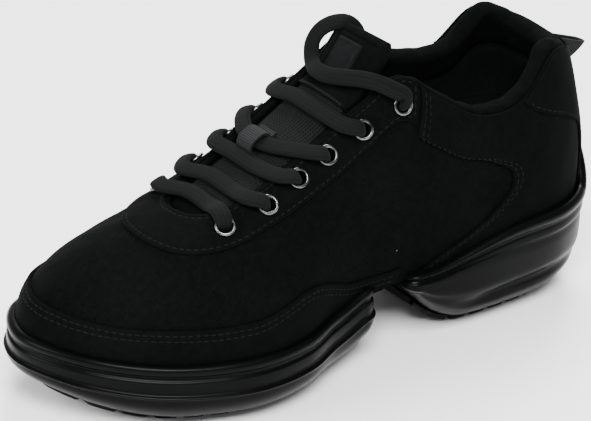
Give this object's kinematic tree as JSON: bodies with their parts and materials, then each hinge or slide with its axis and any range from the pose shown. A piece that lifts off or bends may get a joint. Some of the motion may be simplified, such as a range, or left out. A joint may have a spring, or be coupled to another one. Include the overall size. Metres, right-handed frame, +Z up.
{
  "type": "dance sneaker",
  "caption": "Low-cut lace-up dance sneaker with a padded collar, a soft upper and a split rubber sole that bends freely under the arch.",
  "frame": {"origin": "on the floor, at the middle of the heel tread's flat spot", "axes": "+X from heel to toe, +Y to the wearer's left, which is the outer side of this left shoe, +Z up, with the shoe standing on its sole"},
  "size_m": [0.2656, 0.1003, 0.132],
  "materials": {
    "cloth": "matte woven canvas",
    "suede": "matte nubuck",
    "lining": "knitted mesh and padded lining",
    "braid": "flat woven lace",
    "webbing": "ribbed webbing tape",
    "lace_tip": "smooth film",
    "sole_rubber": "semi-gloss moulded rubber",
    "tread_rubber": "fine ribbed matte rubber",
    "eyelet_metal": "dark nickel plating"
  },
  "bodies": {
    "root": {"upper": "cloth", "mudguard": "suede", "eyestay": "suede", "heel_foxing": "suede", "backstay": "suede", "forefoot_sole": "sole_rubber", "forefoot_tread": "tread_rubber", "heel_sole": "sole_rubber", "heel_tread": "tread_rubber", "insole": "lining", "tongue": "lining", "eyelet_outer_1": "eyelet_metal", "eyelet_outer_2": "eyelet_metal", "eyelet_outer_3": "eyelet_metal", "eyelet_outer_4": "eyelet_metal", "eyelet_outer_5": "eyelet_metal", "eyelet_outer_6": "eyelet_metal", "eyelet_inner_1": "eyelet_metal", "eyelet_inner_2": "eyelet_metal", "eyelet_inner_3": "eyelet_metal", "eyelet_inner_4": "eyelet_metal", "eyelet_inner_5": "eyelet_metal", "eyelet_inner_6": "eyelet_metal", "lace_bar_1": "braid", "lace_bar_2": "braid", "lace_bar_3": "braid", "lace_bar_4": "braid", "lace_bar_5": "braid", "lace_end": "braid", "lace_tip": "lace_tip", "lace_keeper": "webbing", "pull_loop": "webbing"}
  },
  "joints": []
}
